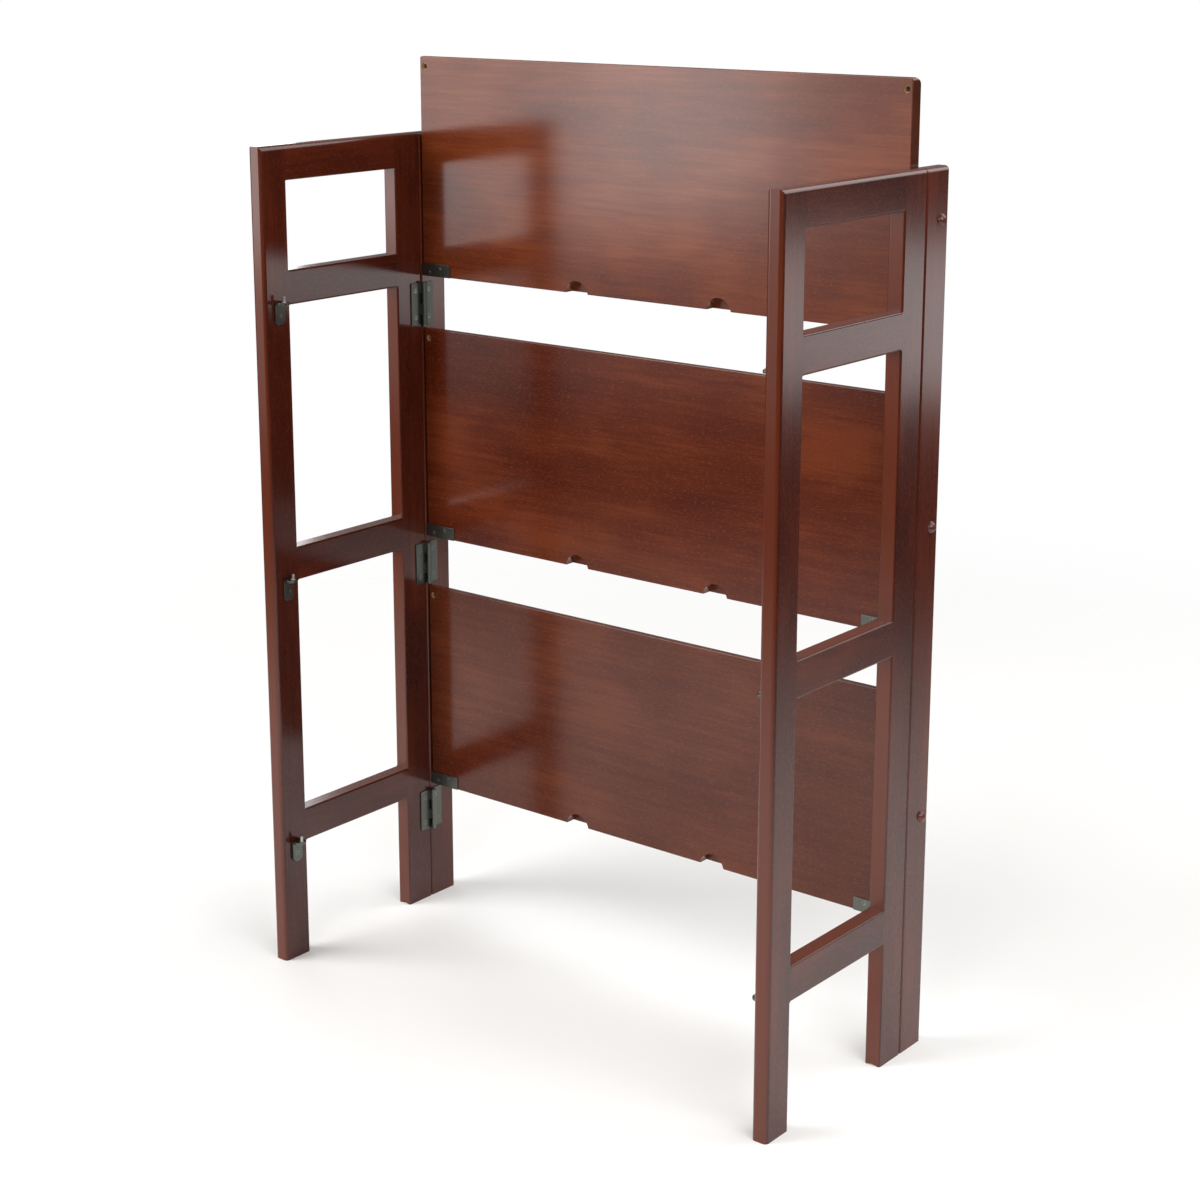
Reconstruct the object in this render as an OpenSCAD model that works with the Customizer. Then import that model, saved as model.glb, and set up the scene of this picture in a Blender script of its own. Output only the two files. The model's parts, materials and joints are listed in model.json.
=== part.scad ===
// Folding shelf: a rear frame, two side frames that fold in on butt hinges,
// and three boards that fold up against the rear frame on pivot pins.
// X runs to the right, Y to the back and Z up. The origin is on the floor,
// under the middle of the opened shelf.

/* [Frame] */
// Width over the two side frames
overall_w = 725; // [600:1:900]
// Height of the posts and side frames
frame_h = 980; // [930:1:1100]
// Thickness of the stock of posts, stiles and side rails
stock_t = 19; // [17:0.5:25]
// Depth of a side frame, front to back
frame_d = 258; // [225:1:300]
// Depth of a rear post, front to back
post_d = 42; // [38:0.5:60]
// Gap between a rear post and the side frame in front of it
seam = 1; // [0.6:0.1:2]
// Width of the front stile
front_stile_w = 39; // [34:0.5:50]
// Width of the rear stile
rear_stile_w = 41; // [36:0.5:50]
// Height of every rail
rail_h = 40; // [34:0.5:50]
// Drop of a side rail's lower edge below the shelf level beside it
rail_drop = 6; // [2:0.5:10]
// Rise of a back rail's middle above the shelf level below it
back_rail_rise = 121.3; // [90:0.1:160]
// Distance of the back rails from the rear face of the posts
back_rail_inset = 0.4; // [0:0.1:2]

/* [Edges] */
// Round on the front edges of the front stile
front_round = 4.5; // [2:0.5:6]
// Round on the other long edges of posts, stiles and rails
edge_round = 2; // [1:0.25:3]
// Round across the top of posts and side frames
top_round = 6; // [3:0.5:8]
// Width of the groove under each leg
foot_groove_w = 13; // [8:0.5:15]
// Depth of the groove under each leg
foot_groove_d = 1.8; // [1:0.1:3]
// Stretch of a front leg's foot that the groove leaves whole
foot_land = 12; // [6:0.5:20]

/* [Shelves] */
// Height of the bottom shelf's underside when it is lowered
first_level = 151; // [130:1:200]
// Clear gap between one raised shelf and the next
shelf_gap = 64.5; // [63:0.5:80]
// Thickness of a shelf board
shelf_t = 16; // [15:0.5:20]
// Distance of a lowered shelf's front edge from the front of the frames
front_inset = 9.15; // [5:0.05:20]
// Gap between the end of a board and the posts and frames
end_gap = 2.7; // [2.6:0.1:4]
// Distance of a raised shelf's underside behind the front of the posts
shelf_setback = 1.15; // [1:0.05:3]
// Gap between a raised shelf and the back rails
lean_gap = 0.45; // [0.3:0.05:2]
// Round on the upper front edge of a board
nose_round = 11; // [3:0.5:12]
// Round on the other edges of a board
board_round = 1.2; // [0.5:0.1:2]
// Round on the corners of a board, seen from above
corner_round = 4; // [2:0.5:10]
// Height of the pivot pin above a lowered shelf's underside
pivot_up = 7.5; // [6.5:0.25:7.75]
// Distance of the pivot pin from a board's rear edge
pivot_in = 3.5; // [3.25:0.25:5]
// Radius of the half-round pocket for a folded frame's support pin
notch_r = 17; // [14:0.5:22]
// Distance of the pocket's centre behind the board's rear edge
notch_out = 2.5; // [0:0.5:4]
// Depth of the pocket into the board's underside
notch_depth = 13.5; // [12:0.5:14]

/* [Hinges] */
// Distance of the hinge pin's axis from the inner faces
hinge_offset = 5.2; // [5:0.1:7]
// Length of a hinge
hinge_l = 52; // [44:1:54]
// Drop of a hinge's upper end below the shelf level above it
hinge_drop = 4.5; // [4:0.25:6]
// Reach of a leaf, from the hinge pin to its outer edge
leaf_reach = 19; // [17:0.5:22]
// Thickness of a leaf
leaf_t = 1.5; // [1.2:0.1:1.8]
// Radius of the barrel
barrel_r = 3.1; // [2.9:0.1:3.4]
// Radius of the hinge pin
hinge_pin_r = 1.55; // [1.2:0.05:1.8]
// Distance of the leaf screws from the hinge pin
leaf_screw_out = 11.7; // [10.5:0.1:12.5]
// Distance of the leaf screws from a leaf's upper and lower end
leaf_screw_end = 9.5; // [8:0.5:12]

/* [Support brackets] */
// Width of a support bracket
support_w = 15; // [12:0.5:18]
// Thickness of the bracket's steel
support_t = 3; // [2:0.25:3.5]
// Reach of the bracket's leg from the stile
support_reach = 14; // [13.5:0.5:18]
// Length of the bracket's tongue, down from its top
support_l = 26.5; // [24:0.5:36]
// Drop of the bracket's screw below its top
support_screw_drop = 16.4; // [13:0.1:18]
// Distance of the support pin from the stile
support_pin_out = 10; // [8.5:0.25:11]
// Distance of the bracket's middle from the front of the frame
support_setback = 21.15; // [18:0.05:24]
// Diameter of the support pin
support_pin_d = 3.7; // [3:0.1:4.5]
// Height of the support pin above the bracket
support_pin_h = 7; // [5:0.25:9]
// Diameter of the collar round the foot of the pin
collar_d = 6.4; // [5.5:0.1:7]
// Thickness of the collar
collar_t = 1; // [0.6:0.1:1.4]

/* [Pivot brackets] */
// Length of the plate along the board
pivot_plate_l = 44; // [40:1:60]
// Width of the plate, from the board's rear edge
pivot_plate_w = 15.5; // [14:0.5:20]
// Thickness of the plate
pivot_plate_t = 1.6; // [1.2:0.1:1.8]
// Thickness of the ear on the board's end
ear_t = 1.8; // [1.2:0.1:2]
// Diameter of the pivot pin
pivot_pin_d = 4; // [3.5:0.1:4.6]
// Reach of the pivot pin into a post
pivot_pin_reach = 9; // [6:0.5:12]

/* [Fixings] */
// Diameter of the dowels
dowel_d = 8; // [6:0.5:9]
// Length of the dowels
dowel_l = 30; // [24:1:36]
// Distance between the two dowels of a side frame joint
dowel_pitch = 20; // [14:0.5:24]
// Drop of a back rail's dowel below its screw
rail_dowel_drop = 12; // [10:0.5:14]
// Length of the back rail screws
rail_screw_l = 50; // [40:1:60]
// Shank diameter of the back rail screws
rail_screw_d = 4.5; // [4:0.1:6]
// Diameter of the caps over the back rail screws
cap_d = 13; // [9.5:0.5:14]
// Height of a cap above the post
cap_h = 5; // [1.5:0.1:6]
// Shank diameter of the hinge and bracket screws
small_screw_d = 3; // [2.4:0.1:3.5]
// Head diameter of the hinge and bracket screws
small_head_d = 6.2; // [5.4:0.1:6.6]
// Length of the hinge and bracket screws
small_screw_l = 14; // [10:0.5:15]

/* [Pose] */
// Fold of the left side frame, where 0 is open
left_fold = 0; // [0:1:90]
// Fold of the right side frame, where 0 is open
right_fold = 0; // [0:1:90]
// Drop of the shelves, where 0 is folded up
shelf_drop = 0; // [0:1:90]

/* [Hidden] */
$fn = 64;

wood = "#5a2a1c";
dowel_wood = "tan";
dark_steel = "#33372f";
bright_steel = "#8a8f88";

// Clearance of a fixed pin, screw or dowel in its hole, on the radius
fixed_fit = 0.05;
// Clearance of a turning pin in its bore, on the radius
turning_fit = 0.1;
// Gap between neighbouring knuckles of a hinge
knuckle_gap = 0.2;
// Gap between a lowered shelf and the support bracket below it
rest_gap = 0.1;
// Spare depth of a blind hole past the piece in it
hole_spare = 0.5;
// Overshoot of a cutting shape past the face that it cuts
over = 1;

shelf_count = 3;
knuckles = 4;
overall_d = frame_d + seam + post_d;
outer_x = overall_w / 2;
inner_x = outer_x - stock_t;
front_y = -overall_d / 2;
back_y = overall_d / 2;
post_y = back_y - post_d;
frame_back_y = post_y - seam;
front_joint_y = front_y + front_stile_w;
rear_joint_y = frame_back_y - rear_stile_w;
hinge_x = inner_x - hinge_offset;
hinge_y = post_y - seam / 2;

pivot_y = post_y + shelf_setback + pivot_up;
board_back_y = pivot_y + pivot_in;
board_front_y = front_y + front_inset;
shelf_d = board_back_y - board_front_y;
board_x = inner_x - end_gap;
level_pitch = shelf_d + shelf_gap;
levels = [for (i = [0 : shelf_count - 1]) first_level + i * level_pitch];

side_rails_z = [for (z = levels) z - rail_drop];
top_rail_z = frame_h - rail_h;
frame_rails_z = concat(side_rails_z, [top_rail_z]);
// Each stretch of a stile between two rails, with the leg below the lowest
windows_z = [for (i = [0 : shelf_count]) [i == 0 ? -1 : frame_rails_z[i - 1] + rail_h, frame_rails_z[i]]];
back_rail_y = post_y + shelf_setback + shelf_t + lean_gap;
back_rail_t = back_y - back_rail_inset - back_rail_y;
back_rail_mid_y = back_rail_y + back_rail_t / 2;
hinges_z = [for (z = levels) z - hinge_drop - hinge_l / 2];
leaf_screws_z = [for (z = hinges_z, s = [-1, 1]) z + s * (hinge_l / 2 - leaf_screw_end)];

support_y = front_y + support_setback;
support_pin_x = inner_x - support_pin_out;
// Where a folded frame carries its support pin, along the raised shelf
notch_x = hinge_x - (hinge_y - support_y);
// Play of the support pin in a board, on the diameter and at its tip
pin_hole_play = 2.3;
pin_hole_spare = 3;
// Play of the pin's collar in its counterbore, on the diameter and in depth
collar_play = 1.6;
collar_spare = 0.6;
leg_round = 6.5;
tongue_chamfer = 4;
pin_chamfer = 0.5;

// The screws of a pivot bracket: distance from the board's end and from its rear edge
pivot_screws = [[12.9, 5.6], [29.9, 11.3]];
// Height of the ear above the pivot pin
ear_above_pin = 6;
ear_h = pivot_up + ear_above_pin;
ear_round = 4;

small_head_h = 1.5;
cross_l = 3.4;
cross_w = 0.8;
cross_depth = 0.9;
tip_h = 3;
tip_r = 0.4;
rail_head_d = 7.6;
rail_head_h = 2.6;
rail_head_sink = 7;
cap_stem_gap = 0.6;
cap_stem_l = rail_head_sink - rail_head_h - cap_stem_gap;
leaf_gap = 0.9;
leaf_corner = 1;
lug_gap = 0.4;
lug_reach = 4.5;
pin_head_lip = 0.8;
pin_head_h = 0.9;
pin_head_gap = 0.1;

// A prism that rounds an edge along Z. The edge is at the origin, and turn picks
// the quarter that the round faces: 0 is +X +Y, and each 90 goes on anticlockwise.
module edge_cut(r, l, turn) {
    rotate([0, 0, turn]) difference() {
        translate([-r, -r, 0]) cube([r + over, r + over, l]);
        translate([-r, -r, -over]) cylinder(r = r, h = l + 2 * over);
    }
}

// Rounds both upper edges, along Y, of a piece of stock that ends at the height top
module top_cuts(y, l, top) {
    for (side = [[inner_x, 180], [outer_x, 270]])
        translate([side[0], y - over, top]) rotate([-90, 0, 0])
            edge_cut(top_round, l + 2 * over, side[1]);
}

// A hollow along the underside of a leg
module foot_cut(y, l) {
    r = (pow(foot_groove_w / 2, 2) + pow(foot_groove_d, 2)) / (2 * foot_groove_d);
    translate([(inner_x + outer_x) / 2, y, foot_groove_d - r]) rotate([-90, 0, 0])
        cylinder(r = r, h = l);
}

// A section in X and Y of right-hand stock, with its own round at the front and at the back
module stock_section(y, w, front_r, back_r) {
    difference() {
        translate([inner_x, y]) square([stock_t, w]);
        for (corner = [[inner_x, y, front_r, 180], [outer_x, y, front_r, 270],
                       [inner_x, y + w, back_r, 90], [outer_x, y + w, back_r, 0]])
            if (corner[2] > 0) translate([corner[0], corner[1]]) corner_cut(corner[2], corner[3]);
    }
}

module corner_cut(r, turn) {
    rotate(turn) difference() {
        translate([-r, -r]) square(r + over);
        translate([-r, -r]) circle(r);
    }
}

// A countersunk wood screw along -Z with the top of its head at the origin.
// With grow it becomes the hole that the screw sits in.
module small_screw(grow = 0) {
    head_r = small_head_d / 2 + grow;
    shank_r = small_screw_d / 2 + grow;
    translate([0, 0, -small_head_h]) cylinder(r1 = shank_r, r2 = head_r, h = small_head_h);
    translate([0, 0, -small_screw_l + tip_h])
        cylinder(r = shank_r, h = small_screw_l - tip_h - small_head_h);
    translate([0, 0, -small_screw_l - grow]) cylinder(r1 = tip_r, r2 = shank_r, h = tip_h + grow);
}

// The cross in a screw's head
module cross_cut() {
    for (turn = [0, 90])
        rotate([0, 0, turn]) translate([-cross_l / 2, -cross_w / 2, -cross_depth])
            cube([cross_l, cross_w, cross_depth + over]);
}

// A screw turned so that it goes into right-hand stock from the inside
module inner_screw(x, y, z) {
    translate([x, y, z]) rotate([0, -90, 0]) difference() {
        small_screw();
        cross_cut();
    }
}

// The hole for inner_screw, open past its head
module inner_screw_hole(x, y, z) {
    translate([x, y, z]) rotate([0, -90, 0]) {
        small_screw(fixed_fit);
        cylinder(r = small_head_d / 2 + fixed_fit, h = over);
    }
}

// The right side frame, folded as far as asked
module right_side() {
    translate([hinge_x, hinge_y, 0]) rotate([0, 0, -right_fold]) translate([-hinge_x, -hinge_y, 0])
        children();
}

// The left side frame, a mirror image of the right one
module left_side() {
    mirror([1, 0, 0]) translate([hinge_x, hinge_y, 0]) rotate([0, 0, -left_fold])
        translate([-hinge_x, -hinge_y, 0]) children();
}

// One shelf: its pieces are drawn lowered, with the underside at Z 0, and turned up
module shelf(i) {
    translate([0, pivot_y, levels[i] + pivot_up]) rotate([shelf_drop - 90, 0, 0])
        translate([0, -pivot_y, -pivot_up]) children();
}

// Both ends of a shelf or of the rear frame
module both_ends() {
    children();
    mirror([1, 0, 0]) children();
}

module rear_post() {
    color(wood) difference() {
        linear_extrude(frame_h) stock_section(post_y, post_d, edge_round, edge_round);
        top_cuts(post_y, post_d, frame_h);
        foot_cut(post_y - over, post_d + 2 * over);
        for (z = leaf_screws_z) inner_screw_hole(inner_x - leaf_t, hinge_y + leaf_screw_out, z);
        for (z = levels) {
            translate([inner_x - over, pivot_y, z + pivot_up]) rotate([0, 90, 0])
                cylinder(r = pivot_pin_d / 2 + turning_fit, h = pivot_pin_reach + hole_spare + over);
            rail_screw_hole(z + back_rail_rise);
            rail_dowel_hole(z + back_rail_rise, inner_x);
        }
    }
}

// The hole for a back rail's screw, its head and the stem of its cap
module rail_screw_hole(z) {
    translate([outer_x, back_rail_mid_y, z]) rotate([0, -90, 0]) {
        cylinder(r = rail_screw_d / 2 + fixed_fit, h = rail_screw_l + rail_head_sink + hole_spare);
        translate([0, 0, -over]) cylinder(r = rail_head_d / 2 + fixed_fit, h = rail_head_sink + over);
    }
}

// The hole for half of a back rail's dowel, on either side of the joint at x
module rail_dowel_hole(z, x) {
    l = dowel_l + 2 * hole_spare;
    translate([x - l / 2, back_rail_mid_y, z - rail_dowel_drop]) rotate([0, 90, 0])
        cylinder(r = dowel_d / 2 + fixed_fit, h = l);
}

module back_rail(i) {
    z = levels[i] + back_rail_rise;
    color(wood) difference() {
        translate([-inner_x, 0, z]) rotate([90, 0, 90]) linear_extrude(2 * inner_x)
            rail_section(back_rail_y, back_rail_t, rail_h, edge_round, edge_round);
        both_ends() {
            rail_screw_hole(z);
            rail_dowel_hole(z, inner_x);
        }
    }
}

// A rail's section about the height 0: from u, t thick and h high
module rail_section(u, t, h, low_r, high_r) {
    difference() {
        translate([u, -h / 2]) square([t, h]);
        for (corner = [[u, -h / 2, low_r, 180], [u + t, -h / 2, low_r, 270],
                       [u, h / 2, high_r, 90], [u + t, h / 2, high_r, 0]])
            if (corner[2] > 0) translate([corner[0], corner[1]]) corner_cut(corner[2], corner[3]);
    }
}

module back_rail_dowels() {
    color(dowel_wood) both_ends() for (z = levels)
        translate([inner_x - dowel_l / 2, back_rail_mid_y, z + back_rail_rise - rail_dowel_drop])
            rotate([0, 90, 0]) cylinder(d = dowel_d, h = dowel_l);
}

module back_rail_screws() {
    color(bright_steel) both_ends() for (z = levels)
        translate([outer_x - rail_head_sink, back_rail_mid_y, z + back_rail_rise]) rotate([0, 90, 0])
            difference() {
                union() {
                    cylinder(d = rail_head_d, h = rail_head_h);
                    translate([0, 0, -rail_screw_l + tip_h])
                        cylinder(d = rail_screw_d, h = rail_screw_l - tip_h + over);
                    translate([0, 0, -rail_screw_l]) cylinder(r1 = tip_r, r2 = rail_screw_d / 2, h = tip_h);
                }
                translate([0, 0, rail_head_h]) cross_cut();
            }
}

module screw_caps() {
    r = (pow(cap_d / 2, 2) + pow(cap_h, 2)) / (2 * cap_h);
    color(wood) both_ends() for (z = levels)
        translate([outer_x, back_rail_mid_y, z + back_rail_rise]) rotate([0, 90, 0]) {
            intersection() {
                translate([0, 0, cap_h - r]) sphere(r = r);
                cylinder(d = cap_d + over, h = cap_h + over);
            }
            translate([0, 0, -cap_stem_l]) cylinder(d = rail_head_d, h = cap_stem_l + cap_h / 2);
        }
}

// A hinge knuckle with its lug, on the side of the hinge that side picks: 1 is the post's
module knuckle(h, side) {
    lug_y = side > 0 ? lug_gap : -lug_reach;
    difference() {
        union() {
            cylinder(r = barrel_r, h = h);
            translate([barrel_r / 2, lug_y, 0]) cube([hinge_offset - barrel_r / 2, lug_reach - lug_gap, h]);
        }
        translate([0, 0, -over]) cylinder(r = hinge_pin_r + fixed_fit, h = h + 2 * over);
    }
}

// The leaves of the three hinges on one side, about the hinge axis
module leaves(side) {
    knuckle_h = hinge_l / knuckles;
    first = side > 0 ? 0 : 1;
    color(dark_steel) translate([hinge_x, hinge_y, 0]) difference() {
        for (z = hinges_z) {
            low = z - hinge_l / 2;
            plate_y = side > 0 ? leaf_gap : -leaf_reach;
            difference() {
                translate([hinge_offset - leaf_t, plate_y, low])
                    cube([leaf_t, leaf_reach - leaf_gap, hinge_l]);
                for (corner = [[low, side > 0 ? 0 : 270], [low + hinge_l, side > 0 ? 90 : 180]])
                    translate([hinge_offset - leaf_t - over, side * leaf_reach, corner[0]])
                        rotate([0, 90, 0]) edge_cut(leaf_corner, leaf_t + 2 * over, corner[1]);
            }
            for (k = [first : 2 : knuckles - 1])
                translate([0, 0, low + k * knuckle_h + knuckle_gap / 2])
                    knuckle(knuckle_h - knuckle_gap, side);
        }
        for (z = leaf_screws_z) inner_screw_hole(hinge_offset - leaf_t, side * leaf_screw_out, z);
    }
}

module leaf_screws(side) {
    color(dark_steel) for (z = leaf_screws_z)
        inner_screw(inner_x - leaf_t, hinge_y + side * leaf_screw_out, z);
}

module hinge_pins() {
    color(bright_steel) for (z = hinges_z) translate([hinge_x, hinge_y, z]) {
        l = hinge_l + 2 * pin_head_gap;
        translate([0, 0, -l / 2]) cylinder(r = hinge_pin_r, h = l);
        for (z = [-l / 2 - pin_head_h, l / 2])
            translate([0, 0, z]) cylinder(r = hinge_pin_r + pin_head_lip, h = pin_head_h);
    }
}

// Rounds the edges of a stile along each window, at the height of no rail
module window_cuts(y, turns) {
    for (w = windows_z, side = [[inner_x, turns[0]], [outer_x, turns[1]]])
        translate([side[0], y, w[0]]) edge_cut(edge_round, w[1] - w[0], side[1]);
}

// The holes for the dowels at one joint line of a side frame
module frame_dowel_holes(y, rails_z = frame_rails_z) {
    l = dowel_l + 2 * hole_spare;
    for (z = rails_z, s = [-1, 1])
        translate([(inner_x + outer_x) / 2, y - l / 2, z + rail_h / 2 + s * dowel_pitch / 2])
            rotate([-90, 0, 0]) cylinder(r = dowel_d / 2 + fixed_fit, h = l);
}

module front_stile() {
    color(wood) difference() {
        linear_extrude(frame_h) stock_section(front_y, front_stile_w, front_round, 0);
        top_cuts(front_y, front_stile_w, frame_h);
        foot_cut(front_y + foot_land, front_stile_w);
        window_cuts(front_joint_y, [90, 0]);
        frame_dowel_holes(front_joint_y);
        for (z = levels) support_screw_hole(z);
    }
}

module rear_stile() {
    color(wood) difference() {
        linear_extrude(frame_h) stock_section(rear_joint_y, rear_stile_w, 0, edge_round);
        top_cuts(rear_joint_y, rear_stile_w, frame_h);
        foot_cut(rear_joint_y - over, rear_stile_w + 2 * over);
        window_cuts(rear_joint_y, [180, 270]);
        frame_dowel_holes(rear_joint_y);
        for (z = leaf_screws_z) inner_screw_hole(inner_x - leaf_t, hinge_y - leaf_screw_out, z);
    }
}

module side_rail(z, high_r) {
    color(wood) difference() {
        translate([inner_x, front_joint_y, z + rail_h / 2]) rotate([90, 0, 180])
            linear_extrude(rear_joint_y - front_joint_y)
                rail_section(-stock_t, stock_t, rail_h, edge_round, high_r);
        for (y = [front_joint_y, rear_joint_y]) frame_dowel_holes(y, [z]);
    }
}

module frame_dowels() {
    color(dowel_wood) for (y = [front_joint_y, rear_joint_y], z = frame_rails_z, s = [-1, 1])
        translate([(inner_x + outer_x) / 2, y - dowel_l / 2, z + rail_h / 2 + s * dowel_pitch / 2])
            rotate([-90, 0, 0]) cylinder(d = dowel_d, h = dowel_l);
}

// Top of the support brackets, below a shelf level
support_top = -rest_gap;

module support_screw_hole(z) {
    inner_screw_hole(inner_x - support_t, support_y, z + support_top - support_screw_drop);
}

module support_brackets() {
    color(dark_steel) for (z = levels) translate([inner_x, support_y, z + support_top]) difference() {
        union() {
            translate([-support_t, -support_w / 2, -support_l]) cube([support_t, support_w, support_l]);
            translate([-support_reach, -support_w / 2, -support_t])
                cube([support_reach, support_w, support_t]);
        }
        for (corner = [[-1, 180], [1, 90]])
            translate([-support_reach, corner[0] * support_w / 2, -support_t - over])
                edge_cut(leg_round, support_t + 2 * over, corner[1]);
        for (s = [-1, 1]) translate([-support_t / 2, s * support_w / 2, -support_l]) rotate([45, 0, 0])
            cube([support_t + over, tongue_chamfer * sqrt(2), tongue_chamfer * sqrt(2)], center = true);
        translate([-support_pin_out, 0, -support_t - over])
            cylinder(r = support_pin_d / 2 + fixed_fit, h = support_t + 2 * over);
        translate([-inner_x, -support_y, -z - support_top]) support_screw_hole(z);
    }
}

module support_pins() {
    color(bright_steel) for (z = levels) translate([support_pin_x, support_y, z + support_top]) {
        translate([0, 0, -support_t])
            cylinder(d = support_pin_d, h = support_t + support_pin_h - pin_chamfer);
        translate([0, 0, support_pin_h - pin_chamfer])
            cylinder(r1 = support_pin_d / 2, r2 = support_pin_d / 2 - pin_chamfer, h = pin_chamfer);
        cylinder(d = collar_d, h = collar_t);
    }
}

module support_screws() {
    color(dark_steel) for (z = levels)
        inner_screw(inner_x - support_t, support_y, z + support_top - support_screw_drop);
}

// A board lying lowered: section in Y and Z, plan corners, pockets and pin holes
module board() {
    color(wood) difference() {
        intersection() {
            translate([-board_x, 0, 0]) rotate([90, 0, 90]) linear_extrude(2 * board_x) difference() {
                translate([board_front_y, 0]) square([shelf_d, shelf_t]);
                translate([board_front_y, shelf_t]) corner_cut(nose_round, 90);
                translate([board_front_y, 0]) corner_cut(board_round, 180);
                translate([board_back_y, 0]) corner_cut(board_round, 270);
                translate([board_back_y, shelf_t]) corner_cut(board_round, 0);
            }
            linear_extrude(shelf_t) difference() {
                translate([-board_x, board_front_y]) square([2 * board_x, shelf_d]);
                for (corner = [[-1, 180], [1, 270]])
                    translate([corner[0] * board_x, board_front_y]) corner_cut(corner_round, corner[1]);
            }
        }
        both_ends() {
            translate([notch_x, board_back_y + notch_out, -over])
                cylinder(r = notch_r, h = notch_depth + over);
            translate([support_pin_x, support_y, -over]) {
                cylinder(d = support_pin_d + pin_hole_play, h = support_pin_h + pin_hole_spare + over);
                cylinder(d = collar_d + collar_play, h = collar_t + collar_spare + over);
            }
            for (p = pivot_screws) pivot_screw_at(p) small_screw(fixed_fit);
            for (edge = [[0, 0], [shelf_t, 270]])
                translate([board_x, board_front_y - over, edge[0]]) rotate([-90, 0, 0])
                    edge_cut(board_round, shelf_d + 2 * over, edge[1]);
        }
    }
}

// Places a pivot bracket's screw, its head level with the plate's face
module pivot_screw_at(p) {
    translate([board_x - p[0], board_back_y - p[1], -pivot_plate_t]) rotate([180, 0, 0]) children();
}

module pivot_brackets() {
    color(dark_steel) both_ends() difference() {
        union() {
            translate([board_x - pivot_plate_l, board_back_y - pivot_plate_w, -pivot_plate_t])
                cube([pivot_plate_l, pivot_plate_w, pivot_plate_t]);
            translate([board_x, board_back_y - pivot_plate_w, -pivot_plate_t])
                cube([ear_t, pivot_plate_w, ear_h + pivot_plate_t]);
        }
        for (corner = [[board_back_y, 90], [board_back_y - pivot_plate_w, 180]])
            translate([board_x - over, corner[0], ear_h]) rotate([0, 90, 0])
                edge_cut(ear_round, ear_t + 2 * over, corner[1]);
        translate([board_x - over, pivot_y, pivot_up]) rotate([0, 90, 0])
            cylinder(r = pivot_pin_d / 2 + fixed_fit, h = ear_t + 2 * over);
        for (p = pivot_screws) pivot_screw_at(p) {
            small_screw(fixed_fit);
            cylinder(r = small_head_d / 2 + fixed_fit, h = over);
        }
    }
}

module pivot_pins() {
    color(bright_steel) both_ends()
        translate([board_x, pivot_y, pivot_up]) rotate([0, 90, 0])
            cylinder(d = pivot_pin_d, h = end_gap + pivot_pin_reach);
}

module bracket_screws() {
    color(dark_steel) both_ends() for (p = pivot_screws) pivot_screw_at(p) difference() {
        small_screw();
        cross_cut();
    }
}

module left_rear_post() { mirror([1, 0, 0]) rear_post(); }
module right_rear_post() { rear_post(); }
module top_back_rail() { back_rail(2); }
module middle_back_rail() { back_rail(1); }
module bottom_back_rail() { back_rail(0); }
module left_hinge_post_leaves() { mirror([1, 0, 0]) leaves(1); }
module left_hinge_post_screws() { mirror([1, 0, 0]) leaf_screws(1); }
module left_hinge_pins() { mirror([1, 0, 0]) hinge_pins(); }
module right_hinge_post_leaves() { leaves(1); }
module right_hinge_post_screws() { leaf_screws(1); }
module right_hinge_pins() { hinge_pins(); }
module left_front_stile() { left_side() front_stile(); }
module left_rear_stile() { left_side() rear_stile(); }
module left_top_rail() { left_side() side_rail(frame_rails_z[3], top_round); }
module left_upper_rail() { left_side() side_rail(frame_rails_z[2], edge_round); }
module left_middle_rail() { left_side() side_rail(frame_rails_z[1], edge_round); }
module left_lower_rail() { left_side() side_rail(frame_rails_z[0], edge_round); }
module left_frame_dowels() { left_side() frame_dowels(); }
module left_hinge_frame_leaves() { left_side() leaves(-1); }
module left_hinge_frame_screws() { left_side() leaf_screws(-1); }
module left_support_brackets() { left_side() support_brackets(); }
module left_support_pins() { left_side() support_pins(); }
module left_support_screws() { left_side() support_screws(); }
module right_front_stile() { right_side() front_stile(); }
module right_rear_stile() { right_side() rear_stile(); }
module right_top_rail() { right_side() side_rail(frame_rails_z[3], top_round); }
module right_upper_rail() { right_side() side_rail(frame_rails_z[2], edge_round); }
module right_middle_rail() { right_side() side_rail(frame_rails_z[1], edge_round); }
module right_lower_rail() { right_side() side_rail(frame_rails_z[0], edge_round); }
module right_frame_dowels() { right_side() frame_dowels(); }
module right_hinge_frame_leaves() { right_side() leaves(-1); }
module right_hinge_frame_screws() { right_side() leaf_screws(-1); }
module right_support_brackets() { right_side() support_brackets(); }
module right_support_pins() { right_side() support_pins(); }
module right_support_screws() { right_side() support_screws(); }
module top_shelf_board() { shelf(2) board(); }
module top_shelf_brackets() { shelf(2) pivot_brackets(); }
module top_shelf_pivot_pins() { shelf(2) pivot_pins(); }
module top_shelf_screws() { shelf(2) bracket_screws(); }
module middle_shelf_board() { shelf(1) board(); }
module middle_shelf_brackets() { shelf(1) pivot_brackets(); }
module middle_shelf_pivot_pins() { shelf(1) pivot_pins(); }
module middle_shelf_screws() { shelf(1) bracket_screws(); }
module bottom_shelf_board() { shelf(0) board(); }
module bottom_shelf_brackets() { shelf(0) pivot_brackets(); }
module bottom_shelf_pivot_pins() { shelf(0) pivot_pins(); }
module bottom_shelf_screws() { shelf(0) bracket_screws(); }

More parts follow.
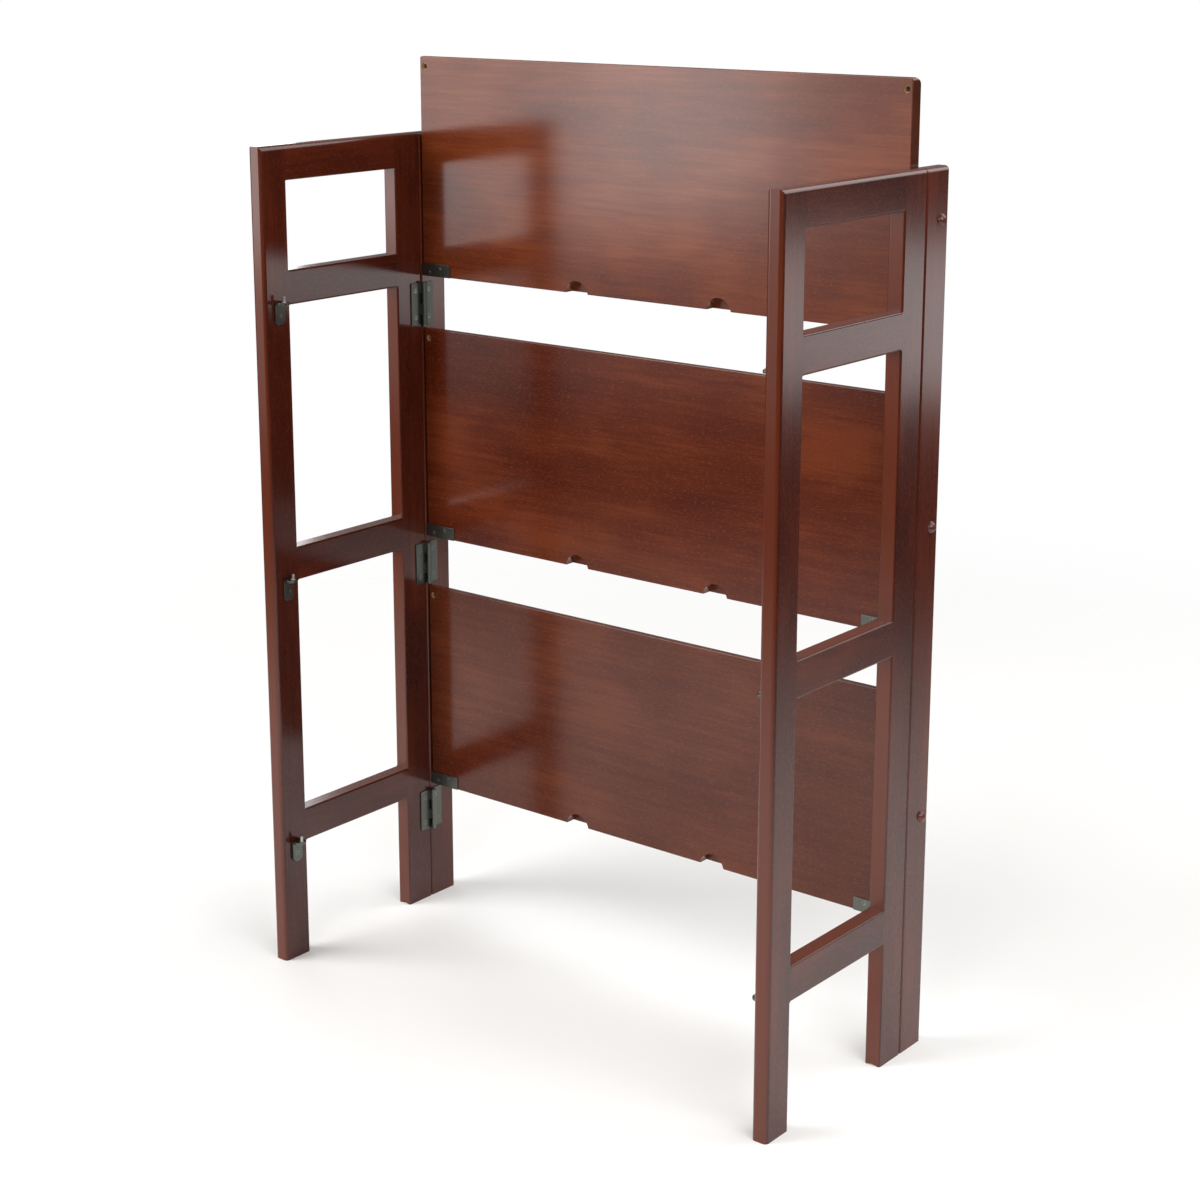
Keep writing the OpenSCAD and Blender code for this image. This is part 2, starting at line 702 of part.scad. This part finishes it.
left_rear_post();
right_rear_post();
top_back_rail();
middle_back_rail();
bottom_back_rail();
back_rail_dowels();
back_rail_screws();
screw_caps();
left_hinge_post_leaves();
right_hinge_post_leaves();
left_hinge_post_screws();
right_hinge_post_screws();
left_hinge_pins();
right_hinge_pins();
left_front_stile();
left_rear_stile();
left_top_rail();
left_upper_rail();
left_middle_rail();
left_lower_rail();
left_frame_dowels();
left_hinge_frame_leaves();
left_hinge_frame_screws();
left_support_brackets();
left_support_pins();
left_support_screws();
right_front_stile();
right_rear_stile();
right_top_rail();
right_upper_rail();
right_middle_rail();
right_lower_rail();
right_frame_dowels();
right_hinge_frame_leaves();
right_hinge_frame_screws();
right_support_brackets();
right_support_pins();
right_support_screws();
top_shelf_board();
top_shelf_brackets();
top_shelf_pivot_pins();
top_shelf_screws();
middle_shelf_board();
middle_shelf_brackets();
middle_shelf_pivot_pins();
middle_shelf_screws();
bottom_shelf_board();
bottom_shelf_brackets();
bottom_shelf_pivot_pins();
bottom_shelf_screws();
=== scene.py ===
import bpy
import bmesh
import json
import math
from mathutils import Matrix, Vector

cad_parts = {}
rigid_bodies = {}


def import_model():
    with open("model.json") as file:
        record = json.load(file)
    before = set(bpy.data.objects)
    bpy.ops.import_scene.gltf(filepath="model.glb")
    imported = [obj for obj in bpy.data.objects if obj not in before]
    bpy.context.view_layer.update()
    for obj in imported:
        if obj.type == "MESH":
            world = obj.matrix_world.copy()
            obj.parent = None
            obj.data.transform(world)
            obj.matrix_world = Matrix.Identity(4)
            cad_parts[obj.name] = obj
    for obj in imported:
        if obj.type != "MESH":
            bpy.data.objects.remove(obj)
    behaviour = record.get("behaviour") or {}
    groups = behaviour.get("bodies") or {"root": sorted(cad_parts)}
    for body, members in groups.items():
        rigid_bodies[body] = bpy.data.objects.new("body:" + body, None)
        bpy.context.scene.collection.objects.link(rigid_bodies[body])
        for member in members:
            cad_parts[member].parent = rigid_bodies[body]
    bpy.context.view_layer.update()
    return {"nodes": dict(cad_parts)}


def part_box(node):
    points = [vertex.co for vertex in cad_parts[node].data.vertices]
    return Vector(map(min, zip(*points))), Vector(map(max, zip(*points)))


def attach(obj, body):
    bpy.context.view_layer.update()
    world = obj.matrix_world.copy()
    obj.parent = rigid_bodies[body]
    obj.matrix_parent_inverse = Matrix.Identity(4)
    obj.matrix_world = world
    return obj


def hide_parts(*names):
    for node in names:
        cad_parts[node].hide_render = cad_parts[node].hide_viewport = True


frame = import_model()
nodes = frame["nodes"]
print("frame loaded:", len(nodes), "nodes")


# Every colour is written as an sRGB hex value
def srgb(hexCode):
    channels = [int(hexCode[i:i + 2], 16) / 255 for i in (0, 2, 4)]
    linear = [c / 12.92 if c <= 0.04045 else ((c + 0.055) / 1.055) ** 2.4 for c in channels]
    return (*linear, 1.0)


def addNode(tree, kind, settings=None, inputs=None, links=None):
    node = tree.nodes.new(kind)
    for name, value in (settings or {}).items():
        setattr(node, name, value)
    for name, value in (inputs or {}).items():
        node.inputs[name].default_value = value
    for name, socket in (links or {}).items():
        tree.links.new(socket, node.inputs[name])
    return node


def newMaterial(name):
    material = bpy.data.materials.new(name)
    material.use_nodes = True
    material.node_tree.nodes.clear()
    return material, material.node_tree


# Stops are (position, colour)
def setRamp(node, stops):
    ramp = node.color_ramp
    while len(ramp.elements) < len(stops):
        ramp.elements.new(1.0)
    for element, (position, colour) in zip(ramp.elements, stops):
        element.position = position
        element.color = colour


# Stained hardwood under a satin lacquer: the stain takes unevenly, so it is cloudy, with short pale flecks
# along the grain, and the lacquer gives soft blurred reflections over it. The stops are where the stain is
# dark, middle and light in the mixed noise
frameLook = {
    "dark": "331008",
    "middle": "3f150b",
    "light": "4e1d0f",
    "fleck": "6b3a26",
    "stops": (0.37, 0.5, 0.63),
    "cloudAcrossMm": 60.0,
    "cloudAlongMm": 170.0,
    "cloudDetail": 2.0,
    "cloudDistortion": 0.25,
    "streakAcrossMm": 9.0,
    "streakAlongMm": 240.0,
    "streakDetail": 2.0,
    "streakShare": 0.28,
    "grainAcrossMm": 2.4,
    "grainAlongMm": 45.0,
    "grainDetail": 3.0,
    "grainShare": 0.22,
    "fleckAcrossMm": 0.9,
    "fleckAlongMm": 5.0,
    "fleckDetail": 1.0,
    "fleckFrom": 0.58,
    "fleckTo": 0.7,
    "fleckShare": 0.3,
    "ior": 1.5,
    "specular": 0.02,
    "roughness": 0.5,
    "roughnessSpread": 0.08,
    "coatWeight": 1.0,
    "coatRoughness": 0.16,
    "bumpMm": 0.04,
    "bumpStrength": 0.3,
    "bumpFleckShare": 0.5,
}
postLook = dict(frameLook, dark="3a140a", middle="47190d", light="552112")
boardLook = dict(frameLook, fleck="7d442b", fleckShare=0.4, cloudAcrossMm=95.0, cloudAlongMm=165.0,
                 coatWeight=0.82)
# Painted light: the narrow faces of the frame's stock are painted a lighter tone, standing in for the light
# that falls on them from the side and is thrown back onto them by the wood nearby
narrowFace = {"stockMiddleMm": 353.0, "startMm": 7.6, "endMm": 9.3, "paintedLight": "5f2813", "share": 0.75}
# The pin holes are drilled after the staining, so their walls are bare wood
pinHole = {"acrossMm": 333.5, "belowTopMm": 12.0, "radiusMm": 4.3, "behindFaceMm": 0.4, "bareWood": "a37c5a"}
# End grain soaks up more stain, so the ends of the boards are darker
endGrain = {"startMm": 0.9, "fullMm": 0.2, "soaked": "2b110a", "share": 0.7}
# No two boards took the stain alike
boardStains = {
    "top_shelf_board": {"dark": "50200e", "middle": "622910", "light": "75391b"},
    "middle_shelf_board": {"dark": "451606", "middle": "531e09", "light": "662c12"},
    "bottom_shelf_board": {"dark": "451707", "middle": "51200b", "light": "602b13"},
}


# The coordinates apart, and the distance from the object's middle plane
def fromMiddle(tree, coords):
    place = addNode(tree, "ShaderNodeSeparateXYZ", None, None, {"Vector": coords}).outputs
    across = addNode(tree, "ShaderNodeMath", {"operation": "ABSOLUTE"}, None, {0: place["X"]})
    return place, across.outputs["Value"]


# 1 within the two pin holes of a board, behind its face, and 0 elsewhere
def insidePinHole(tree, coords, board):
    low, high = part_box(board)
    place, across = fromMiddle(tree, coords)
    flat = addNode(tree, "ShaderNodeCombineXYZ", None, None, {"X": across, "Z": place["Z"]}).outputs["Vector"]
    centre = (pinHole["acrossMm"] / 1000, 0, high[2] - pinHole["belowTopMm"] / 1000)
    distance = addNode(tree, "ShaderNodeVectorMath", {"operation": "DISTANCE"}, {1: centre}, {0: flat})
    near = addNode(tree, "ShaderNodeMath", {"operation": "LESS_THAN"}, {1: pinHole["radiusMm"] / 1000},
                   {0: distance.outputs["Value"]})
    behind = addNode(tree, "ShaderNodeMath", {"operation": "GREATER_THAN"},
                     {1: low[1] + pinHole["behindFaceMm"] / 1000}, {0: place["Y"]})
    return addNode(tree, "ShaderNodeMath", {"operation": "MULTIPLY"}, None,
                   {0: near.outputs["Value"], 1: behind.outputs["Value"]}).outputs["Value"]


# A share on the two end faces of a board and 0 elsewhere
def onEndGrain(tree, coords, board):
    across = fromMiddle(tree, coords)[1]
    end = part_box(board)[1][0]
    return addNode(tree, "ShaderNodeMapRange", {"interpolation_type": "SMOOTHSTEP"},
                   {"From Min": end - endGrain["startMm"] / 1000, "From Max": end - endGrain["fullMm"] / 1000,
                    "To Max": endGrain["share"]}, {"Value": across}).outputs["Result"]


# A share on the narrow faces of posts, stiles and side rails, which get the painted light, and 0 on the wide
# faces, which lie furthest from the middle of the stock
def onNarrowFace(tree, coords):
    across = fromMiddle(tree, coords)[1]
    offset = addNode(tree, "ShaderNodeMath", {"operation": "SUBTRACT"},
                     {1: narrowFace["stockMiddleMm"] / 1000}, {0: across}).outputs["Value"]
    depth = addNode(tree, "ShaderNodeMath", {"operation": "ABSOLUTE"}, None, {0: offset}).outputs["Value"]
    return addNode(tree, "ShaderNodeMapRange", {"interpolation_type": "SMOOTHSTEP"},
                   {"From Min": narrowFace["startMm"] / 1000, "From Max": narrowFace["endMm"] / 1000,
                    "To Min": narrowFace["share"], "To Max": 0.0}, {"Value": depth}).outputs["Result"]


def makeWood(name, axis, look, board=None, sideStock=False):
    material, tree = newMaterial(name)
    coords = addNode(tree, "ShaderNodeTexCoord").outputs["Object"]

    # Features are AcrossMm wide and AlongMm long, along the grain's axis
    def grainNoise(kind, distortion=0.0):
        scale = [1000.0 / look[kind + "AcrossMm"]] * 3
        scale["XYZ".index(axis)] = 1000.0 / look[kind + "AlongMm"]
        stretched = addNode(tree, "ShaderNodeMapping", None, {"Scale": scale}, {"Vector": coords})
        return addNode(tree, "ShaderNodeTexNoise", None,
                       {"Scale": 1.0, "Detail": look[kind + "Detail"], "Roughness": 0.5,
                        "Distortion": distortion}, {"Vector": stretched.outputs["Vector"]}).outputs["Fac"]

    def mixValues(factor, a, b):
        return addNode(tree, "ShaderNodeMix", None, {"Factor": factor}, {"A": a, "B": b}).outputs["Result"]

    def tint(colour, hexCode, share):
        return addNode(tree, "ShaderNodeMix", {"data_type": "RGBA"}, {"B": srgb(hexCode)},
                       {"Factor": share, "A": colour}).outputs["Result"]

    cloud = grainNoise("cloud", look["cloudDistortion"])
    streak = grainNoise("streak")
    grain = grainNoise("grain")
    fleck = grainNoise("fleck")
    tone = mixValues(look["grainShare"], mixValues(look["streakShare"], cloud, streak), grain)
    stain = addNode(tree, "ShaderNodeValToRGB", None, None, {"Fac": tone})
    shades = [srgb(look[shade]) for shade in ("dark", "middle", "light")]
    setRamp(stain, list(zip(look["stops"], shades)))
    fleckSpot = addNode(tree, "ShaderNodeMapRange", None,
                        {"From Min": look["fleckFrom"], "From Max": look["fleckTo"],
                         "To Max": look["fleckShare"]}, {"Value": fleck})
    colour = tint(stain.outputs["Color"], look["fleck"], fleckSpot.outputs["Result"])
    # Painted light: the narrow faces are tinted lighter, for the light that falls on them from the side
    if sideStock:
        colour = tint(colour, narrowFace["paintedLight"], onNarrowFace(tree, coords))
    if board:
        colour = tint(colour, endGrain["soaked"], onEndGrain(tree, coords, board))
        colour = tint(colour, pinHole["bareWood"], insidePinHole(tree, coords, board))
    height = mixValues(look["bumpFleckShare"], grain, fleck)
    bump = addNode(tree, "ShaderNodeBump", None,
                   {"Strength": look["bumpStrength"], "Distance": look["bumpMm"] / 1000}, {"Height": height})
    roughness = addNode(tree, "ShaderNodeMapRange", None,
                        {"To Min": look["roughness"] - look["roughnessSpread"],
                         "To Max": look["roughness"] + look["roughnessSpread"]}, {"Value": grain})
    shader = addNode(tree, "ShaderNodeBsdfPrincipled", None,
                     {"IOR": look["ior"], "Specular IOR Level": look["specular"],
                      "Coat Weight": look["coatWeight"], "Coat Roughness": look["coatRoughness"]},
                     {"Base Color": colour, "Roughness": roughness.outputs["Result"],
                      "Normal": bump.outputs["Normal"]})
    addNode(tree, "ShaderNodeOutputMaterial", None, None, {"Surface": shader.outputs["BSDF"]})
    return material


# Steel with a blackened or plated skin: a dull metal whose gloss is a little mottled
steelLook = {"mottleMm": 1.1111, "mottleDetail": 3.0, "smoother": 0.1, "rougher": 0.12}


def makeSteel(name, colour, roughness):
    material, tree = newMaterial(name)
    coords = addNode(tree, "ShaderNodeTexCoord").outputs["Object"]
    noise = addNode(tree, "ShaderNodeTexNoise", None,
                    {"Scale": 1000.0 / steelLook["mottleMm"], "Detail": steelLook["mottleDetail"]},
                    {"Vector": coords})
    mottled = addNode(tree, "ShaderNodeMapRange", None,
                      {"To Min": roughness - steelLook["smoother"],
                       "To Max": roughness + steelLook["rougher"]}, {"Value": noise.outputs["Fac"]})
    shader = addNode(tree, "ShaderNodeBsdfPrincipled", None,
                     {"Base Color": srgb(colour), "Metallic": 1.0}, {"Roughness": mottled.outputs["Result"]})
    addNode(tree, "ShaderNodeOutputMaterial", None, None, {"Surface": shader.outputs["BSDF"]})
    return material


blackSteel = makeSteel("blackened pressed steel", "666963", 0.36)  # dark, with broad soft highlights
screwSteel = makeSteel("blackened screw steel, rubbed", "7c7e77", 0.27)  # the driver has rubbed it brighter
zincSteel = makeSteel("zinc plated steel", "b4b4ac", 0.3)  # pale and bright, on the pins that take wear
beech = makeWood("plain beech", "Y",
                 dict(frameLook, dark="a5825c", middle="b8946b", light="c9a87f", fleck="8a6744"))
postWood = makeWood("stained hardwood post", "Z", postLook, sideStock=True)
stileWood = makeWood("stained hardwood stile", "Z", frameLook, sideStock=True)
sideRailWood = makeWood("stained hardwood side rail", "Y", frameLook, sideStock=True)
backRailWood = makeWood("stained hardwood back rail", "X", postLook)
capWood = makeWood("stained hardwood cap", "X",
                   dict(postLook, dark="431a11", middle="52241a", light="613024"))
finishes = {
    "dowels": beech,
    "pins": zincSteel,
    "hinge_pins": blackSteel,
    "screws": screwSteel,
    "leaves": blackSteel,
    "brackets": blackSteel,
    "post": postWood,
    "stile": stileWood,
    "rail": sideRailWood,
    "back_rail": backRailWood,
    "caps": capWood,
    "back_rail_screws": zincSteel,
}
for name, stain in boardStains.items():
    woodName = "stained hardwood " + name.replace("_", " ")
    finishes[name] = makeWood(woodName, "X", dict(boardLook, **stain), name)


# The longest ending that fits a node's name picks its finish
def finishOf(name):
    return finishes[max((ending for ending in finishes if name.endswith(ending)), key=len)]


for name, node in nodes.items():
    node.data.materials.clear()
    node.data.materials.append(finishOf(name))
print("materials done")

# Pressed and turned steel has no knife edges: each piece is its CAD solid with every edge eased, and the
# strip steel has a round where it was bent
hardware = {
    "mergeMm": 0.001,
    "flatDegrees": 0.5,
    "sharpDegrees": 30.0,
    "shadeSharpDegrees": 50.0,
    "segments": 2,
    "edgeMm": {"leaves": 0.42, "brackets": 0.4, "screws": 0.2, "pins": 0.25},
    "bendMm": {"support_brackets": 3.4, "shelf_brackets": 2.0},
    "bendSegments": 6,
    "bendLongerThanMm": 10.0,
    "onFaceMm": 0.01,
}


def finishShape(shape, name):
    mesh = bpy.data.meshes.new(name)
    shape.to_mesh(mesh)
    shape.free()
    mesh.shade_smooth()
    mesh.set_sharp_from_angle(angle=math.radians(hardware["shadeSharpDegrees"]))
    piece = bpy.data.objects.new(name, mesh)
    bpy.context.scene.collection.objects.link(piece)
    smoother = piece.modifiers.new("even shading", "WEIGHTED_NORMAL")
    smoother.keep_sharp = True
    return piece


def bevelEdges(shape, edges, radiusMm, segments):
    bmesh.ops.bevel(shape, geom=edges, offset=radiusMm / 1000, offset_type="OFFSET", segments=segments,
                    profile=0.5, affect="EDGES", clamp_overlap=True, material=-1)


# The outer edge of a bend is a long edge that lies in a face of the node's box: on a support bracket the
# outer face, at its top, and on a shelf bracket the front face, at the end of the board
def bendEdges(shape, nodeName):
    low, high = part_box(nodeName)
    longer = hardware["bendLongerThanMm"] / 1000
    near = hardware["onFaceMm"] / 1000
    bends = []
    for edge in shape.edges:
        ends = [vert.co for vert in edge.verts]
        if nodeName.endswith("support_brackets"):
            outerX = low[0] if nodeName.startswith("left") else high[0]
            along = abs(ends[0].y - ends[1].y) > longer and all(abs(end.x - outerX) < near for end in ends)
            top = edge.is_manifold and any(face.normal.z > 0.9 for face in edge.link_faces)
            if along and top:
                bends.append(edge)
        else:
            along = abs(ends[0].z - ends[1].z) > longer and all(abs(end.y - low[1]) < near for end in ends)
            if along and all(abs(abs(end.x) - high[0]) < near for end in ends):
                bends.append(edge)
    return bends


# Edges that meet are one group. Each group is eased by itself, so a short edge holds back its own group only
def edgeGroups(edges):
    left = set(edges)
    groups = []
    while left:
        group, waiting = [], [left.pop()]
        while waiting:
            edge = waiting.pop()
            group.append(edge)
            near = {other for vert in edge.verts for other in vert.link_edges if other in left}
            left -= near
            waiting.extend(near)
        groups.append(sorted(group, key=lambda edge: edge.index))
    return sorted(groups, key=lambda group: group[0].index)


def easedPiece(nodeName, edgeMm):
    shape = bmesh.new()
    shape.from_mesh(nodes[nodeName].data)
    bmesh.ops.remove_doubles(shape, verts=shape.verts, dist=hardware["mergeMm"] / 1000)
    bmesh.ops.dissolve_limit(shape, angle_limit=math.radians(hardware["flatDegrees"]), verts=shape.verts,
                             edges=shape.edges)
    for ending, radiusMm in hardware["bendMm"].items():
        if nodeName.endswith(ending):
            bevelEdges(shape, bendEdges(shape, nodeName), radiusMm, hardware["bendSegments"])
    sharp = [edge for edge in shape.edges
             if edge.is_manifold and edge.calc_face_angle() > math.radians(hardware["sharpDegrees"])]
    shape.edges.index_update()
    for group in edgeGroups(sharp):
        bevelEdges(shape, [edge for edge in group if edge.is_valid], edgeMm, hardware["segments"])
    piece = finishShape(shape, "eased_" + nodeName)
    piece.data.materials.append(finishOf(nodeName))
    body = nodes[nodeName].parent.name.split(":")[1]
    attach(piece, body)
    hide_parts(nodeName)
    return piece


for name in sorted(nodes):
    ending = name.split("_")[-1]
    if ending in hardware["edgeMm"] and name != "back_rail_screws":
        easedPiece(name, hardware["edgeMm"][ending])
print("hardware done")

# White paper floor in a dim room with softboxes. The lacquer shows it: bright floor low down, dim room above,
# and the left softbox across the boards. The floor fades out far from the object. The room's brightness runs
# from ahead to behind along Y, up to the zenith and down to below along Z, and a camera sees plain white
studio = {
    "floorRadius": 2.6,
    "floorSolidRadius": 0.6,
    "floorCorners": 96,
    "floorColour": "f7f6f4",
    "floorRoughness": 0.9,
    "floorSpecular": 0.2,
    "zenith": 0.3,
    "behind": 0.2,
    "ahead": 0.1,
    "below": 0.03,
    "seen": 1.0,
    "aheadToBehind": (-0.3, 0.8),
    "horizonToZenith": (0.12, 0.32),
    "belowToHorizon": (-0.03, 0.03),
}


def buildStudio():
    mesh = bpy.data.meshes.new("floor")
    shape = bmesh.new()
    bmesh.ops.create_circle(shape, cap_ends=True, segments=studio["floorCorners"],
                            radius=studio["floorRadius"])
    shape.to_mesh(mesh)
    shape.free()
    floor = bpy.data.objects.new("floor", mesh)
    bpy.context.scene.collection.objects.link(floor)
    material, tree = newMaterial("matt white paper")
    coords = addNode(tree, "ShaderNodeTexCoord").outputs["Object"]
    distance = addNode(tree, "ShaderNodeVectorMath", {"operation": "LENGTH"}, None,
                       {0: coords}).outputs["Value"]
    solid = addNode(tree, "ShaderNodeMapRange", {"interpolation_type": "SMOOTHERSTEP"},
                    {"From Min": studio["floorSolidRadius"], "From Max": studio["floorRadius"],
                     "To Min": 1.0, "To Max": 0.0}, {"Value": distance})
    shader = addNode(tree, "ShaderNodeBsdfPrincipled", None,
                     {"Base Color": srgb(studio["floorColour"]), "Roughness": studio["floorRoughness"],
                      "Specular IOR Level": studio["floorSpecular"]}, {"Alpha": solid.outputs["Result"]})
    addNode(tree, "ShaderNodeOutputMaterial", None, None, {"Surface": shader.outputs["BSDF"]})
    mesh.materials.append(material)

    world = bpy.data.worlds.new("studio")
    world.use_nodes = True
    tree = world.node_tree
    tree.nodes.clear()
    direction = addNode(tree, "ShaderNodeSeparateXYZ", None, None,
                        {"Vector": addNode(tree, "ShaderNodeTexCoord").outputs["Generated"]})

    def blend(low, high, by, span):
        share = addNode(tree, "ShaderNodeMapRange", None, {"From Min": span[0], "From Max": span[1]},
                        {"Value": by})
        node = addNode(tree, "ShaderNodeMix", None, None, {"Factor": share.outputs["Result"]})
        for socket, value in (("A", low), ("B", high)):
            if isinstance(value, float):
                node.inputs[socket].default_value = value
            else:
                tree.links.new(value, node.inputs[socket])
        return node.outputs["Result"]

    horizon = blend(studio["ahead"], studio["behind"], direction.outputs["Y"], studio["aheadToBehind"])
    sky = blend(horizon, studio["zenith"], direction.outputs["Z"], studio["horizonToZenith"])
    room = blend(studio["below"], sky, direction.outputs["Z"], studio["belowToHorizon"])
    seen = addNode(tree, "ShaderNodeLightPath").outputs["Is Camera Ray"]
    strength = blend(room, studio["seen"], seen, (0.0, 1.0))
    background = addNode(tree, "ShaderNodeBackground", None, {"Color": srgb("ffffff")},
                         {"Strength": strength})
    addNode(tree, "ShaderNodeOutputWorld", None, None, {"Surface": background.outputs["Background"]})
    bpy.context.scene.world = world
    bpy.context.scene.view_settings.view_transform = "Standard"


cameraSetup = {
    "position": (1.5926, -1.9530, 1.2114),
    "azimuth": 38.8,
    "pitch": 13.6,
    "lensMm": 70.0,
    "sensorMm": 36.0,
    "shiftY": -0.085,
}


def addCamera():
    data = bpy.data.cameras.new("camera")
    data.lens = cameraSetup["lensMm"]
    data.sensor_width = cameraSetup["sensorMm"]
    data.shift_y = cameraSetup["shiftY"]
    camera = bpy.data.objects.new("camera", data)
    bpy.context.scene.collection.objects.link(camera)
    camera.location = cameraSetup["position"]
    camera.rotation_euler = (math.radians(90 - cameraSetup["pitch"]), 0, math.radians(cameraSetup["azimuth"]))
    bpy.context.scene.camera = camera


# Each softbox stands at one place and faces another, in metres
softboxes = {
    "key softbox": {"at": (-1.8, -2.1, 2.6), "facing": (0, 0, 0.6), "size": (2.4, 2.4), "watts": 77},
    "left softbox": {"at": (-2.5, -2.42, 1.31), "facing": (0, 0, 1.2), "size": (1.7, 1.78), "watts": 31.5},
    "left softbox core": {"at": (-2.1, -2.75, 0.85), "facing": (0, 0, 0.9), "size": (0.5, 0.6), "watts": 2.5},
    "left low softbox": {"at": (-2.3, -2.6, 0.2), "facing": (0, 0, 0.2), "size": (2.3, 0.4), "watts": 2},
    "front softbox": {"at": (-1.63, -3.2, 1.35), "facing": (0, 0, 1.2), "size": (0.65, 1.8), "watts": 6},
    "fill softbox": {"at": (1.0, -2.7, 1.5), "facing": (0, 0, 0.7), "size": (0.8, 0.9), "watts": 13},
    "right softbox": {"at": (2.0, -0.75, 1.75), "facing": (0, 0, 0.8), "size": (1.8, 1.8), "watts": 34},
    "rear softbox": {"at": (1.7, 2.4, 0.4), "facing": (0, 0, 0.38), "size": (1.4, 0.34), "watts": 3.2},
    "rear key softbox": {"at": (1.6, 1.9, 2.7), "facing": (0.4, 0.4, 0), "size": (3.0, 3.0), "watts": 66},
    "rear left softbox": {"at": (-2.6, 1.2, 1.15), "facing": (-0.3, 0, 0.9), "size": (1.3, 0.8), "watts": 10},
}


def addSoftbox(name, at, facing, size, watts):
    data = bpy.data.lights.new(name, "AREA")
    data.shape = "RECTANGLE"
    data.size, data.size_y = size
    data.energy = watts
    light = bpy.data.objects.new(name, data)
    bpy.context.scene.collection.objects.link(light)
    light.location = at
    light.rotation_euler = (Vector(facing) - Vector(at)).to_track_quat("-Z", "Y").to_euler()
    light.visible_camera = False


buildStudio()
addCamera()
for name, softbox in softboxes.items():
    addSoftbox(name, **softbox)
print("studio done")
